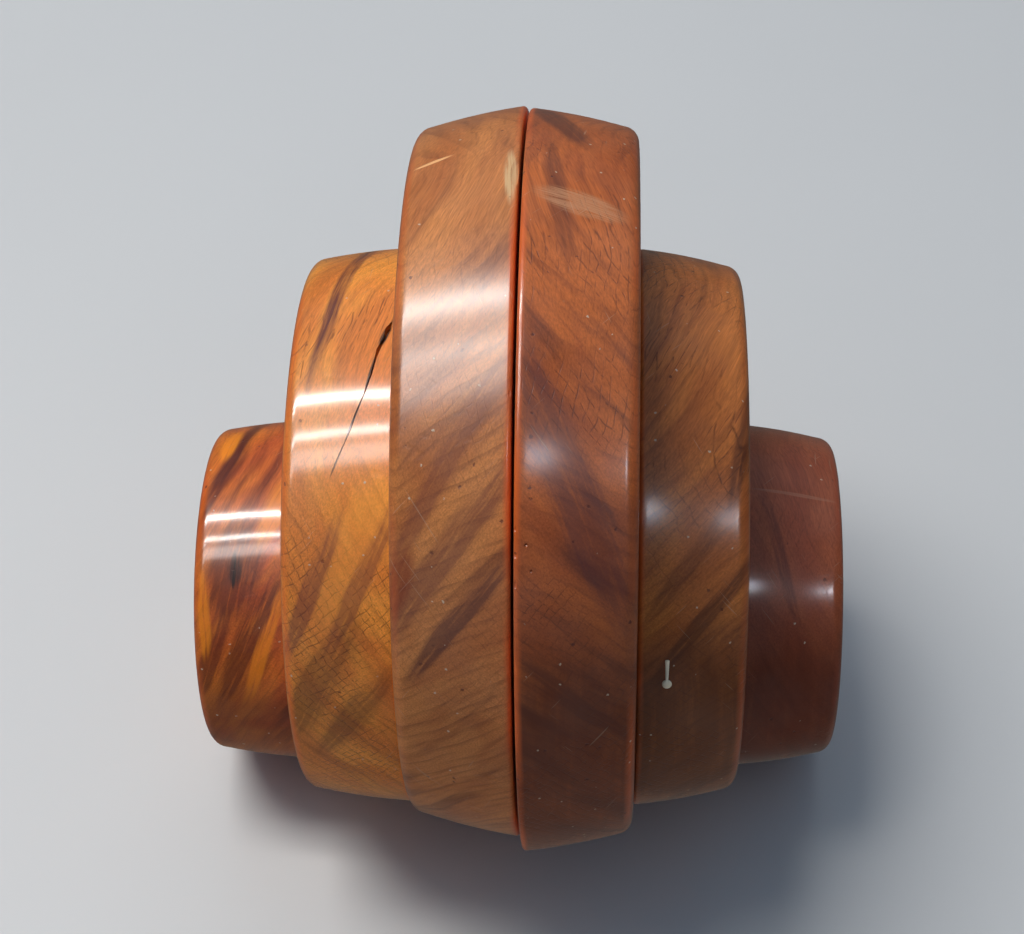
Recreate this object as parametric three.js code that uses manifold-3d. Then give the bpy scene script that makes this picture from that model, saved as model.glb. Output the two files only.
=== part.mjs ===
// Stacking ring toy: six turned hardwood rings in three sizes, threaded on one round spindle.
// The two large rings meet in the middle and each side steps down to a small ring.
// The bores are off centre in the large and medium rings, so that every ring can stand on the
// table while the spindle stays straight. A turned button plugs each end of the spindle.
//
// Frame: millimetres, +Z up. X runs along the spindle, the table is z = 0, and the origin is
// under the middle of the whole toy.

import * as THREE from "three";
import { mergeVertices } from "three/addons/utils/BufferGeometryUtils.js";
import Module from "manifold-3d";

const wasm = await Module();
wasm.setup();

// ---------------------------------------------------------------- driving dimensions

const SIDES = 48; // flats around a ring; one flat is always at the bottom
const BORE_SIDES = 32; // flats around the spindle, the bores and the buttons

const SEAM_GAP = 0.7; // between the two large rings
const FACE_GAP = 0.3; // between two rings that lie face to face

const LIP_RADIUS = 1.0; // rounding of a ring's inner edge, where it meets its neighbour
const SHOULDER_RADIUS = 2.6; // rounding of a ring's outer edge
const CROWN = 0.35; // how far the taper bulges between its two edges

const SPINDLE_RADIUS = 11;
const SPINDLE_HEIGHT = 36.85; // the spindle's centre line is level with the small rings' centres
const BORE_RADIUS = 11.5;

const BUTTON_RADIUS = 16;
const BUTTON_THICKNESS = 6;
const BUTTON_RECESS = 0.8; // the button's face lies this far inside the small ring's face
const SHANK_RADIUS = 5.5;
const SHANK_LENGTH = 14;
const SOCKET_RADIUS = 6;
const SOCKET_DEPTH = 15;
const COUNTERBORE_RADIUS = 16.5;

// width: along the spindle. crest: radius at the inner edge, on which the ring stands.
// shoulder: radius that the taper would reach at the outer face. shift: the ring's centre
// in front of (-) or behind (+) the spindle, where a ring is turned a little on its bore.
const LEFT_RINGS = [
  { name: "left_large_ring", width: 22.0, crest: 74.5, shoulder: 69.4, shift: 0, colour: 0xa8683e },
  { name: "left_medium_ring", width: 22.55, crest: 58.2, shoulder: 55.4, shift: 0, colour: 0xc47a38 },
  { name: "left_small_ring", width: 22.55, crest: 36.85, shoulder: 34.4, shift: 0, colour: 0xc4642a },
];
const RIGHT_RINGS = [
  { name: "right_large_ring", width: 21.75, crest: 75.3, shoulder: 71.0, shift: -3.05, colour: 0x9a4f28 },
  { name: "right_medium_ring", width: 21.0, crest: 58.2, shoulder: 54.2, shift: 0, colour: 0x7a4a28 },
  { name: "right_small_ring", width: 20.95, crest: 36.85, shoulder: 33.5, shift: 0, colour: 0x5e3328 },
];

const SPINDLE_COLOUR = 0xb88a58;
const BUTTON_COLOUR = 0x8a5a38;

// ---------------------------------------------------------------- solids

/** A satin wood material of one colour. */
function wood(colour) {
  return new THREE.MeshStandardMaterial({ color: colour, roughness: 0.35, metalness: 0 });
}

/** Turns a profile of [radius, place along X] points around the X axis. */
function turned(profile, sides) {
  const points = profile.map(([radius, along]) => new THREE.Vector2(radius, along));
  const geometry = new THREE.LatheGeometry(points, sides, Math.PI / sides);
  geometry.rotateZ(-Math.PI / 2);
  return geometry;
}

/** A plain round bar along X between two places, with its flats outside the stated radius. */
function bar(radius, from, to, sides) {
  const corner = radius / Math.cos(Math.PI / sides);
  return turned([[0, from], [corner, from], [corner, to], [0, to]], sides);
}

/** Makes a closed geometry into a solid that can be cut. */
function solid(geometry) {
  geometry.deleteAttribute("normal");
  geometry.deleteAttribute("uv");
  const merged = mergeVertices(geometry, 1e-4);
  return new wasm.Manifold(new wasm.Mesh({
    numProp: 3,
    vertProperties: new Float32Array(merged.attributes.position.array),
    triVerts: new Uint32Array(merged.index.array),
  }));
}

/** Turns a cut solid back into a geometry. */
function geometryOf(body) {
  const mesh = body.getMesh();
  const geometry = new THREE.BufferGeometry();
  geometry.setAttribute("position", new THREE.BufferAttribute(mesh.vertProperties, 3));
  geometry.setIndex(new THREE.BufferAttribute(mesh.triVerts, 1));
  geometry.computeVertexNormals();
  return geometry;
}

/** A named mesh in its own material. */
function named(name, geometry, colour) {
  const mesh = new THREE.Mesh(geometry, wood(colour));
  mesh.name = name;
  return mesh;
}

// ---------------------------------------------------------------- rings

/**
 * Half a ring's outline, from its axis at the inner face, over the rounded lip, along the
 * crowned taper and round the shoulder, back to its axis at the outer face. The inner face
 * is at 0 and the outer face at the ring's width.
 */
function ringProfile({ width, crest, shoulder }) {
  const drop = (crest - shoulder) / width;
  const taper = (along) => {
    const t = along / width;
    return crest - drop * along + CROWN * 4 * t * (1 - t);
  };
  const lip = LIP_RADIUS * (1 - Math.SQRT1_2);
  const round = SHOULDER_RADIUS * (1 - Math.SQRT1_2);
  return [
    [0, 0],
    [crest - LIP_RADIUS, 0],
    [crest - lip, lip],
    [crest, LIP_RADIUS],
    [taper(width / 2), width / 2],
    [taper(width - SHOULDER_RADIUS), width - SHOULDER_RADIUS],
    [shoulder - round, width - round],
    [shoulder - SHOULDER_RADIUS, width],
    [0, width],
  ];
}

/** A ring around its own centre, with its flats at the stated radii and its inner face at x = 0. */
function ringBlank(ring) {
  const corner = 1 / Math.cos(Math.PI / SIDES);
  const profile = ringProfile(ring).map(([radius, along]) => [radius * corner, along]);
  return solid(turned(profile, SIDES));
}

/** The hole that the spindle passes through, and on a small ring the seat of the button. */
function ringHole(ring, isLast) {
  const through = solid(bar(BORE_RADIUS, -1, ring.width + 1, BORE_SIDES));
  if (!isLast) {
    return through;
  }
  const seatFloor = ring.width - BUTTON_RECESS - BUTTON_THICKNESS - FACE_GAP;
  return through.add(solid(bar(COUNTERBORE_RADIUS, seatFloor, ring.width + 1, BORE_SIDES)));
}

/**
 * A ring with its hole, standing on the table, with its inner face at x = 0. Its outer face
 * looks along +X where direction is 1, and along -X where it is -1.
 */
function standingRing(ring, isLast, direction) {
  const turn = direction < 0 ? 180 : 0;
  const blank = ringBlank(ring).rotate([0, 0, turn]);
  const hole = ringHole(ring, isLast).rotate([0, 0, turn]);
  const bored = blank.subtract(hole.translate([0, -ring.shift, SPINDLE_HEIGHT - ring.crest]));
  return geometryOf(bored).translate(0, ring.shift, ring.crest);
}

/** One side's rings, from the middle outwards. */
function ringStack(rings, direction) {
  const stack = new THREE.Group();
  let along = SEAM_GAP / 2;
  rings.forEach((ring, index) => {
    const geometry = standingRing(ring, index === rings.length - 1, direction);
    const mesh = named(ring.name, geometry, ring.colour);
    mesh.position.x = direction * along;
    stack.add(mesh);
    along += ring.width + FACE_GAP;
  });
  return stack;
}

/** Distance from the seam to the outer face of a side's last ring. */
function sideLength(rings) {
  const widths = rings.reduce((sum, ring) => sum + ring.width, 0);
  return SEAM_GAP / 2 + widths + FACE_GAP * (rings.length - 1);
}

// ---------------------------------------------------------------- spindle and buttons

/** Distance from the seam to the end of the spindle on one side. */
function spindleEnd(rings) {
  return sideLength(rings) - BUTTON_RECESS - BUTTON_THICKNESS - FACE_GAP;
}

/** The round bar through all six rings, with a blind socket in each end. */
function spindle() {
  const left = -spindleEnd(LEFT_RINGS);
  const right = spindleEnd(RIGHT_RINGS);
  const chamfer = 0.8;
  const outline = [
    [0, left],
    [SPINDLE_RADIUS - chamfer, left],
    [SPINDLE_RADIUS, left + chamfer],
    [SPINDLE_RADIUS, right - chamfer],
    [SPINDLE_RADIUS - chamfer, right],
    [0, right],
  ];
  const leftSocket = solid(bar(SOCKET_RADIUS, left - 1, left + SOCKET_DEPTH, BORE_SIDES));
  const rightSocket = solid(bar(SOCKET_RADIUS, right - SOCKET_DEPTH, right + 1, BORE_SIDES));
  const body = solid(turned(outline, BORE_SIDES)).subtract(leftSocket).subtract(rightSocket);
  const mesh = named("spindle", geometryOf(body), SPINDLE_COLOUR);
  mesh.position.z = SPINDLE_HEIGHT;
  return mesh;
}

/** The turned button in one end: a broad head with a rounded edge, on a shank. */
function endButton(name, rings, direction) {
  const edge = 1.2;
  const outline = [
    [0, -BUTTON_THICKNESS - SHANK_LENGTH],
    [SHANK_RADIUS, -BUTTON_THICKNESS - SHANK_LENGTH],
    [SHANK_RADIUS, -BUTTON_THICKNESS],
    [BUTTON_RADIUS, -BUTTON_THICKNESS],
    [BUTTON_RADIUS, -edge],
    [BUTTON_RADIUS - edge, 0],
    [0, 0],
  ];
  const geometry = turned(outline, BORE_SIDES);
  if (direction < 0) {
    geometry.rotateZ(Math.PI);
  }
  const mesh = named(name, geometry, BUTTON_COLOUR);
  mesh.position.set(direction * (sideLength(rings) - BUTTON_RECESS), 0, SPINDLE_HEIGHT);
  return mesh;
}

// ---------------------------------------------------------------- assembly

/** How far the toy's middle lies from the seam and the spindle, along X and Y. */
function middle() {
  const rings = [...LEFT_RINGS, ...RIGHT_RINGS];
  const front = Math.min(...rings.map((ring) => ring.shift - ring.crest));
  const back = Math.max(...rings.map((ring) => ring.shift + ring.crest));
  return {
    x: (sideLength(RIGHT_RINGS) - sideLength(LEFT_RINGS)) / 2,
    y: (front + back) / 2,
  };
}

const toy = new THREE.Group();
toy.add(ringStack(LEFT_RINGS, -1));
toy.add(ringStack(RIGHT_RINGS, 1));
toy.add(spindle());
toy.add(endButton("left_end_button", LEFT_RINGS, -1));
toy.add(endButton("right_end_button", RIGHT_RINGS, 1));
toy.position.set(-middle().x, -middle().y, 0);

export default toy;
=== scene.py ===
"""Looks of a stacking ring toy: six turned hardwood rings on one spindle, with end buttons.

Every ring is modelled anew, round and smooth, inside the faceted solid of the same name, and is
given the wood, lacquer and wear of its own. Lengths are in metres, in the frame of the solids.
"""

import logging
import math
from dataclasses import dataclass, field
from enum import Enum
from typing import Callable, Sequence

import bpy
from mathutils import Matrix, Vector


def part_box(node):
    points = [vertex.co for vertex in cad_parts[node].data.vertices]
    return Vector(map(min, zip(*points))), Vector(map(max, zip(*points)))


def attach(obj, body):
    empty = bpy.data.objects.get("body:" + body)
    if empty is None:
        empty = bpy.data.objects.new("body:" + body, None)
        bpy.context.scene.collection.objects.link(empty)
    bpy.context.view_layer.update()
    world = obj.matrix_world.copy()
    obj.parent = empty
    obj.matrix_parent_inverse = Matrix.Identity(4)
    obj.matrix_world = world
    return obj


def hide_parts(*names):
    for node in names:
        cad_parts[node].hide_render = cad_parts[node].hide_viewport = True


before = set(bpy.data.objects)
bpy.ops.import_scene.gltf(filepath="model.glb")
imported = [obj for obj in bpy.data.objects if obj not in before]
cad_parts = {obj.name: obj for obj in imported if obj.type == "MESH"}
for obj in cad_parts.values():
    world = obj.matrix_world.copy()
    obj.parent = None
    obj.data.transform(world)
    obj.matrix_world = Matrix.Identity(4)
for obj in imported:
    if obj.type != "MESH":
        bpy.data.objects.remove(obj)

LOG = logging.getLogger("ring_toy")
MM = 0.001
Colour = tuple[float, float, float]
Triple = tuple[float, float, float]
Piece = bpy.types.Object
Socket = bpy.types.NodeSocket

# Shapes. The radii and depths are those of the solids.
RIM_SIDES = 240
BORE_SIDES = 64
TURNED_SIDES = 96
TAPER_CUTS = 14
CROWN = 0.35 * MM
LIP_RADIUS = 1.0 * MM
SHOULDER_RADIUS = 2.6 * MM
FACE_EASE = 0.6 * MM
BORE_RADIUS = 11.5 * MM
SEAT_RADIUS = 16.5 * MM
SEAT_DEPTH = 7.1 * MM
BLADE_TIP = 0.04  # thickness of a crack's sharp bottom, in mm
BLADE_LIFT = 0.6  # how far a crack's blade stands above the rim, in mm
CLOSE = 1e-5  # places nearer together than this are the same place
LONG_EDGE = 5 * MM  # only the edges along a ring's taper are longer
FACETED = 32  # edges bent by more than this many degrees stay sharp

# Wood and lacquer.
BEND = 5 * MM  # how far the grain wanders
BEND_SCALE = 30
SEED_STEP = 7.3 * MM  # how far apart the patterns of two woods are taken
CHECK_GAP = 1.5 * MM
GLOW_REACH = 6 * MM  # painted edge highlights show no further in than this on a ring's flat faces
GLOW_FADE = 3 * MM
GLOW_WANDER = 0.8 * MM
LACQUER = {"IOR": 1.45, "Specular IOR Level": 0.1, "Coat Weight": 0.8, "Coat IOR": 1.36}
GLOW_SHARES = ((0.0, 1.0), (0.05, 0.85), (0.085, 0.0), (0.93, 0.0), (0.985, 0.7), (1.0, 0.4))
THREAD_SHARE = 0.45  # how dark the thin threads are beside the broad bands
STAIN_SPREAD = 0.6  # half the length and width of a dark or light place or of painted shade, with its soft edge
STRAND: Triple = (26, 1, 6)  # a torn strand's length, width and depth, in threads
TEAR = 5  # how far the strands move the edge of a dark or light place or of painted shade
SPECK: Colour = (0.62, 0.5, 0.36)
SCRATCH: Colour = (0.58, 0.42, 0.28)
SCRATCH_CELL: Triple = (12 * MM, 0.45 * MM, 12 * MM)
SCRATCH_TURNS: tuple[Triple, ...] = ((0.4, 0.2, 0.9), (1.5, 0.9, 0.1))  # in radians
HAZE: Colour = (0.5, 0.46, 0.42)


# ---------------------------------------------------------------- modelling helpers


class Part(Enum):
    """Which elements of a mesh a selection takes."""

    CORNERS = "vertices"
    EDGES = "edges"
    FACES = "polygons"


def clear_selection() -> None:
    """Deselects every object, so that an operator acts on the next piece only."""
    if bpy.context.object and bpy.context.object.mode != "OBJECT":
        bpy.ops.object.mode_set(mode="OBJECT")
    bpy.ops.object.select_all(action="DESELECT")


def focus(piece: Piece) -> None:
    """Makes a piece the only selected and the active object.

    Args:
        piece: The object that the next operator acts on.
    """
    clear_selection()
    piece.select_set(True)
    bpy.context.view_layer.objects.active = piece


def settle(piece: Piece) -> None:
    """Moves a piece's place, turn and size into its mesh."""
    focus(piece)
    bpy.ops.object.transform_apply(location=True, rotation=True, scale=True)


def middle_of(mesh: bpy.types.Mesh, element: object) -> Vector:
    """Middle point of a corner, edge or face.

    Args:
        mesh: The mesh that it belongs to.
        element: The corner, edge or face.

    Returns:
        Its middle, in the mesh's own space.
    """
    if isinstance(element, bpy.types.MeshVertex):
        return element.co
    points = [mesh.vertices[index].co for index in element.vertices]
    return sum(points, Vector()) / len(points)


def pick(
    piece: Piece,
    part: Part,
    test: Callable[[bpy.types.Mesh, object], bool],
) -> int:
    """Enters edit mode with only the elements that pass a test selected.

    Args:
        piece: The object whose mesh is picked from.
        part: Whether corners, edges or faces are tested.
        test: Called with the mesh and each element.

    Returns:
        How many elements were picked.
    """
    focus(piece)
    mesh = piece.data
    for group in (mesh.vertices, mesh.edges, mesh.polygons):
        group.foreach_set("select", [False] * len(group))
    elements = getattr(mesh, part.value)
    chosen = [test(mesh, element) for element in elements]
    elements.foreach_set("select", chosen)
    modes = (part is Part.CORNERS, part is Part.EDGES, part is Part.FACES)
    bpy.context.tool_settings.mesh_select_mode = modes
    bpy.ops.object.mode_set(mode="EDIT")
    return sum(chosen)


def leave_edit() -> None:
    """Returns to object mode."""
    bpy.ops.object.mode_set(mode="OBJECT")


def is_face_at(place: float) -> Callable:
    """Builds a test for faces whose middle is at a place along X."""
    return lambda mesh, face: abs(middle_of(mesh, face).x - place) < CLOSE


def is_corner_at(place: float) -> Callable:
    """Builds a test for corners at a place along X."""
    return lambda mesh, corner: abs(corner.co.x - place) < CLOSE


def is_edge_at(places: tuple[float, ...]) -> Callable:
    """Builds a test for edges that lie wholly at one of some places along X.

    Args:
        places: Where along X the edges may lie.

    Returns:
        The test, for use with pick.
    """

    def test(mesh: bpy.types.Mesh, edge: object) -> bool:
        """Whether both ends of an edge are at one of the places."""
        ends = [mesh.vertices[index].co.x for index in edge.vertices]
        return any(all(abs(end - place) < 2 * CLOSE for end in ends) for place in places)

    return test


def is_long_edge(mesh: bpy.types.Mesh, edge: object) -> bool:
    """Whether an edge runs the length of a ring's taper."""
    first, second = (mesh.vertices[index].co for index in edge.vertices)
    return abs(first.x - second.x) > LONG_EDGE


def combine(piece: Piece, tool: Piece, operation: str) -> None:
    """Takes a tool's volume out of a piece, or adds it, and deletes the tool.

    Args:
        piece: The object that is changed.
        tool: The object that is used up.
        operation: DIFFERENCE to take out, or UNION to add.
    """
    modifier = piece.modifiers.new("combine", "BOOLEAN")
    modifier.operation = operation
    modifier.solver = "EXACT"
    modifier.object = tool
    focus(piece)
    bpy.ops.object.modifier_apply(modifier="combine")
    bpy.data.objects.remove(tool, do_unlink=True)


def bevel(width: float, segments: int) -> None:
    """Rounds the selected edges and leaves edit mode."""
    bpy.ops.mesh.bevel(offset=width, segments=segments, profile=0.5, affect="EDGES")
    leave_edit()


def smooth(piece: Piece, angle: float) -> None:
    """Shades a piece smooth across edges flatter than an angle in degrees."""
    focus(piece)
    bpy.ops.object.shade_smooth_by_angle(angle=math.radians(angle))


def hand_over(piece: Piece, material: bpy.types.Material, node: str, angle: float) -> Piece:
    """Shades and dresses a finished piece and puts it in its solid's place.

    Args:
        piece: The finished piece.
        material: Its one material.
        node: The solid that it replaces and moves with.
        angle: Edges bent by more than this many degrees stay sharp.

    Returns:
        The same piece.
    """
    smooth(piece, angle)
    piece.data.materials.clear()
    piece.data.materials.append(material)
    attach(piece, node)
    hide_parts(node)
    LOG.info("%s: %d faces", piece.name, len(piece.data.polygons))
    return piece


def axis_of(node: str) -> Triple:
    """A point on the axis along X of a round solid."""
    low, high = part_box(node)
    return (0, (low.y + high.y) / 2, (low.z + high.z) / 2)


def add_bar(
    name: str, radius: float, ends: tuple[float, float], centre: Triple, sides: int
) -> Piece:
    """Adds a round bar along X.

    Args:
        name: The new object's name.
        radius: The bar's radius.
        ends: Where it starts and ends along X.
        centre: A point on its axis, of which only y and z are used.
        sides: How many flats it has.

    Returns:
        The new object, with its place in its mesh.
    """
    clear_selection()
    bpy.ops.mesh.primitive_cylinder_add(
        vertices=sides,
        radius=radius,
        depth=ends[1] - ends[0],
        end_fill_type="NGON",
        location=((ends[0] + ends[1]) / 2, centre[1], centre[2]),
        rotation=(0, math.pi / 2, 0),
    )
    bar = bpy.context.object
    bar.name = name
    settle(bar)
    return bar


def resize_round(centre: Triple, factor: float) -> None:
    """Scales what is selected in Y and Z about an axis along X."""
    bpy.ops.transform.resize(value=(1, factor, factor), center_override=centre)


def add_flared_cutter(
    radius: float, ends: tuple[float, float], centre: Triple, flare: float
) -> Piece:
    """Adds a hole cutter that also eases the hole's two rims.

    Args:
        radius: The hole's radius.
        ends: The two faces that the hole opens in, along X.
        centre: A point on the hole's axis.
        flare: Width of the eased rim.

    Returns:
        The cutter.
    """
    cutter = add_bar("cutter", radius, (ends[0] + flare, ends[1] - flare), centre, BORE_SIDES)
    for place, outwards in ((ends[0] + flare, -1), (ends[1] - flare, 1)):
        pick(cutter, Part.FACES, is_face_at(place))
        bpy.ops.mesh.extrude_region_move(
            TRANSFORM_OT_translate={"value": (2 * flare * outwards, 0, 0)}
        )
        resize_round((0, centre[1], centre[2]), (radius + 2 * flare) / radius)
        leave_edit()
    return cutter


# ---------------------------------------------------------------- finishes


@dataclass(frozen=True)
class StainOrShade:
    """A long darker or lighter place on a ring's rim, from one point to another: a real mark in
    the wood, or, for the broad ones over the lower front, painted shade.

    Args:
        start: Distance from the ring's inner face in mm, and degrees from the top to the front.
        end: The same for its other end.
        width: Full width, in mm.
        colour: Its own colour.
        strength: How fully it covers the wood, from 0 to 1.
        wisp: How strongly the fibres break it up, from 0 to 1.
        thread: Width of those fibres, in mm.
        straight: Whether it ignores the wood's own waviness, as a scratch does.
    """

    start: tuple[float, float]
    end: tuple[float, float]
    width: float
    colour: Colour
    strength: float = 0.8
    wisp: float = 0.5
    thread: float = 0.9
    straight: bool = False


@dataclass(frozen=True)
class Timber:
    """One ring's wood: its colours and how its grain runs.

    Args:
        name: The material's name.
        pale: Colour of the early wood.
        body: Main colour.
        dark: Colour of the late wood and of dark bands.
        glow: Colour of the painted highlight along the edges.
        fibre: Direction of the grain.
        pith: From the ring's centre to the tree's middle line, in mm.
        year: Distance between growth rings, in mm.
        year_depth: How strongly the growth rings show.
        band_depth: How strongly the broad dark bands show.
        flame: How strongly the wavy light flames show.
        check_depth: How strongly the fine cracks across the growth rings show.
        gloss_blur: Roughness of the lacquer.
        seed: Shifts all its patterns.
    """

    name: str
    pale: Colour
    body: Colour
    dark: Colour
    glow: Colour
    fibre: Triple
    pith: Triple
    year: float = 2.2
    year_depth: float = 0.35
    band_depth: float = 0.6
    flame: float = 0.6
    check_depth: float = 0.5
    gloss_blur: float = 0.17
    seed: float = 0.0


def srgb(red: int, green: int, blue: int) -> Colour:
    """Turns a screen colour of 0 to 255 into the linear values that shaders use.

    Args:
        red: Red, from 0 to 255.
        green: Green, from 0 to 255.
        blue: Blue, from 0 to 255.

    Returns:
        The linear colour.
    """

    def channel(value: int) -> float:
        """One channel, from screen to linear."""
        share = value / 255
        return share / 12.92 if share <= 0.04045 else ((share + 0.055) / 1.055) ** 2.4

    return (channel(red), channel(green), channel(blue))


class Shader:
    """A small hand for building one material's nodes."""

    def __init__(self, name: str) -> None:
        """Starts a material with one Principled shader.

        Args:
            name: The material's name.
        """
        self.material = bpy.data.materials.new(name)
        self.material.use_nodes = True
        self.tree = self.material.node_tree
        self.surface = self.tree.nodes["Principled BSDF"]
        self.count = 0

    def node(self, kind: str, **values: object) -> bpy.types.Node:
        """Adds a node and sets its properties.

        Args:
            kind: Blender's name for the kind of node.
            values: Its properties.

        Returns:
            The node.
        """
        made = self.tree.nodes.new(kind)
        made.location = (-220 * (self.count % 12) - 300, -240 * (self.count // 12))
        self.count += 1
        for key, value in values.items():
            setattr(made, key, value)
        return made

    def link(self, output: Socket, target: Socket) -> None:
        """Joins two sockets."""
        self.tree.links.new(output, target)

    def feed(self, target: Socket, value: object) -> None:
        """Gives a socket another socket's value, a number or a colour.

        Args:
            target: The socket that is fed.
            value: A socket, a number or a colour.
        """
        if isinstance(value, Socket):
            self.link(value, target)
        elif isinstance(value, tuple) and len(value) == 3 and target.type == "RGBA":
            target.default_value = (*value, 1.0)
        else:
            target.default_value = value

    def place(self) -> Socket:
        """The point on the piece, in object coordinates."""
        return self.node("ShaderNodeTexCoord").outputs["Object"]

    def mapped(
        self,
        vector: Socket,
        location: Triple = (0, 0, 0),
        rotation: Triple = (0, 0, 0),
        scale: Triple = (1, 1, 1),
    ) -> Socket:
        """Coordinates measured in a frame with its own place, turn and size.

        Args:
            vector: The coordinates to start from.
            location: Where the frame's middle is.
            rotation: How the frame is turned.
            scale: How long one unit of the frame is along each axis.

        Returns:
            The coordinates in that frame.
        """
        mapping = self.node("ShaderNodeMapping", vector_type="TEXTURE")
        self.link(vector, mapping.inputs["Vector"])
        mapping.inputs["Location"].default_value = location
        mapping.inputs["Rotation"].default_value = rotation
        mapping.inputs["Scale"].default_value = scale
        return mapping.outputs["Vector"]

    def math(self, operation: str, *values: object, clamp: bool = False) -> Socket:
        """One arithmetic step.

        Args:
            operation: Blender's name for the operation.
            values: Sockets or numbers to work on.
            clamp: Whether the result is kept between 0 and 1.

        Returns:
            The result.
        """
        step = self.node("ShaderNodeMath", operation=operation, use_clamp=clamp)
        for index, value in enumerate(values):
            self.feed(step.inputs[index], value)
        return step.outputs[0]

    def noise(
        self,
        vector: Socket,
        scale: float,
        detail: float = 3.0,
        roughness: float = 0.5,
        distortion: float = 0.0,
    ) -> Socket:
        """Cloudy noise from 0 to 1.

        Args:
            vector: Coordinates.
            scale: How many blobs there are in one unit.
            detail: How many finer layers are added.
            roughness: How strong the finer layers are.
            distortion: How much the blobs are swirled.

        Returns:
            The noise, from 0 to 1.
        """
        texture = self.node("ShaderNodeTexNoise")
        self.link(vector, texture.inputs["Vector"])
        texture.inputs["Scale"].default_value = scale
        texture.inputs["Detail"].default_value = detail
        texture.inputs["Roughness"].default_value = roughness
        texture.inputs["Distortion"].default_value = distortion
        return texture.outputs["Fac"]

    def ramp(
        self, value: Socket, stops: Sequence[tuple[float, float]], ease: bool = False
    ) -> Socket:
        """Maps a value through grey stops.

        Args:
            value: The value that is mapped.
            stops: Places from 0 to 1, each with its grey.
            ease: Whether the steps between stops are eased.

        Returns:
            The grey.
        """
        node = self.node("ShaderNodeValToRGB")
        ramp = node.color_ramp
        ramp.interpolation = "EASE" if ease else "LINEAR"
        while len(ramp.elements) < len(stops):
            ramp.elements.new(0.5)
        for element, (place, grey) in zip(ramp.elements, stops):
            element.position = place
            element.color = (grey, grey, grey, 1)
        self.link(value, node.inputs["Fac"])
        return node.outputs["Color"]

    def mix(
        self, share: object, first: object, second: object, blend: str = "MIX"
    ) -> Socket:
        """Blends two colours.

        Args:
            share: How much of the second colour shows.
            first: The colour underneath.
            second: The colour on top.
            blend: Blender's name for the way they blend.

        Returns:
            The blended colour.
        """
        node = self.node("ShaderNodeMix", data_type="RGBA", blend_type=blend, clamp_factor=True)
        factor, *_ = [socket for socket in node.inputs if socket.name == "Factor"]
        colours = [socket for socket in node.inputs if socket.type == "RGBA"]
        self.feed(factor, share)
        self.feed(colours[0], first)
        self.feed(colours[1], second)
        return next(socket for socket in node.outputs if socket.type == "RGBA")

    def rise(self, value: Socket, low: float, high: float, ease: bool = False) -> Socket:
        """A mask that rises from 0 at one level of a value to 1 at another."""
        return self.ramp(value, [(low, 0.0), (high, 1.0)], ease)

    def patches(
        self, scale: float, low: float, high: float, detail: float = 2, roughness: float = 0.5
    ) -> Socket:
        """Soft patches scattered over the whole piece, as a mask from 0 to 1."""
        return self.rise(self.noise(self.place(), scale, detail, roughness), low, high)

    def pile(self, relief: Socket, layers: tuple[tuple[Socket, float], ...]) -> Socket:
        """Adds masks to a relief, each times its own height.

        Args:
            relief: The relief so far.
            layers: Each mask with its height.

        Returns:
            The new relief.
        """
        for mask, height in layers:
            relief = self.math("MULTIPLY_ADD", mask, height, relief)
        return relief

    def split(self, vector: Socket) -> tuple[Socket, ...]:
        """The three parts of a vector.

        Args:
            vector: The vector.

        Returns:
            Its X, Y and Z.
        """
        node = self.node("ShaderNodeSeparateXYZ")
        self.link(vector, node.inputs[0])
        return tuple(node.outputs)

    def cover(self, mask: Socket, depth: float, under: object, over: object) -> Socket:
        """Lays one colour over another where a mask is strong."""
        return self.mix(self.math("MULTIPLY", mask, depth), under, over)

    def distance(self, first: Socket, second: Socket) -> Socket:
        """How far a point is from an axis, from its distances along the two other axes."""
        squares = (self.math("MULTIPLY", part, part) for part in (first, second))
        return self.math("SQRT", self.math("ADD", *squares))

    def carve(self, relief: Socket, strength: float, depth: float) -> None:
        """Gives the surface a fine relief.

        Args:
            relief: Heights.
            strength: How strongly the relief shows, from 0 to 1.
            depth: What a height of one stands for.
        """
        bump = self.node("ShaderNodeBump")
        bump.inputs["Strength"].default_value = strength
        bump.inputs["Distance"].default_value = depth
        self.link(relief, bump.inputs["Height"])
        self.link(bump.outputs["Normal"], self.surface.inputs["Normal"])


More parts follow.
